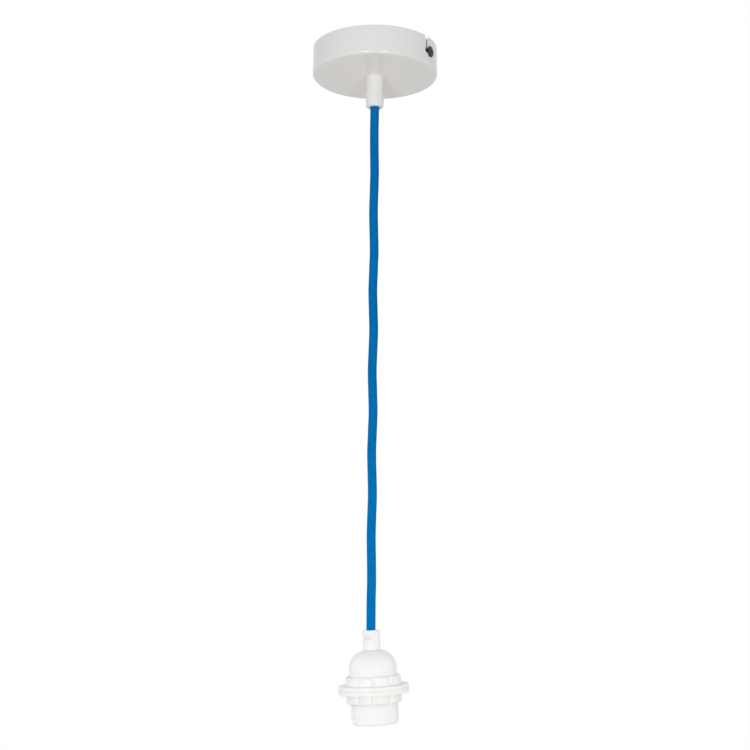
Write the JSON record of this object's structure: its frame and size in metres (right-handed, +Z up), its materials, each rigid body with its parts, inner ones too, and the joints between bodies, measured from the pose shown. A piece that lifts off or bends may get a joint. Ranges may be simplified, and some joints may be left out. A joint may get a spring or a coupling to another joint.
{
  "type": "pendant cord set",
  "caption": "Pendant cord set: a round ceiling cup on its bracket, a fabric covered cord and a lampholder with an E27 socket and screw-on shade rings.",
  "frame": {"origin": "middle of the ceiling plane, on the upper face of the ceiling bracket", "axes": "+Z up to the ceiling, the cord hangs along -Z, -Y is the front seen in the picture, +X is its right"},
  "size_m": [0.11, 0.11, 0.5806],
  "materials": {
    "white_paint": "semi-gloss white paint on steel",
    "white_plastic": "smooth white thermoplastic",
    "blue_fabric": "finely braided blue textile",
    "zinc_steel": "zinc plated",
    "dark_steel": "blackened screw",
    "brass": "plain brass",
    "white_sheath": "soft white sheath",
    "brown_core": "smooth insulation",
    "blue_core": "smooth insulation",
    "earth_core": "green and yellow insulation",
    "strip_nylon": "natural nylon",
    "insert_ceramic": "unglazed steatite"
  },
  "bodies": {
    "root": {"ceiling_cup": "white_paint", "ceiling_bracket": "zinc_steel", "side_screw_right": "dark_steel", "side_screw_left": "dark_steel", "earth_screw": "brass", "earth_ring_lug": "zinc_steel", "terminal_strip": "strip_nylon", "strip_fixing_screw": "zinc_steel", "terminal_tube_live": "brass", "terminal_tube_neutral": "brass", "terminal_tube_earth": "brass", "clamp_screw_live_cord": "zinc_steel", "clamp_screw_live_mains": "zinc_steel", "clamp_screw_neutral_cord": "zinc_steel", "clamp_screw_neutral_mains": "zinc_steel", "clamp_screw_earth_cord": "zinc_steel", "clamp_screw_earth_mains": "zinc_steel", "core_live_top": "brown_core", "core_neutral_top": "blue_core", "earth_lead": "earth_core", "canopy_cord_grip": "white_plastic", "canopy_grip_screw": "white_plastic", "toothed_washer": "zinc_steel", "lock_nut": "zinc_steel", "inner_sheath_top": "white_sheath", "cord": "blue_fabric", "inner_sheath_bottom": "white_sheath", "core_live_bottom": "brown_core", "core_neutral_bottom": "blue_core", "holder_cord_grip": "white_plastic", "holder_grip_screw": "white_plastic", "dome_cap": "white_plastic", "threaded_barrel": "white_plastic", "upper_shade_ring": "white_plastic", "lower_shade_ring": "white_plastic", "contact_insert": "insert_ceramic", "centre_contact": "brass", "side_contact": "brass", "terminal_pillar_live": "brass", "terminal_pillar_neutral": "brass", "pillar_screw_live": "zinc_steel", "pillar_screw_neutral": "zinc_steel"}
  },
  "joints": []
}
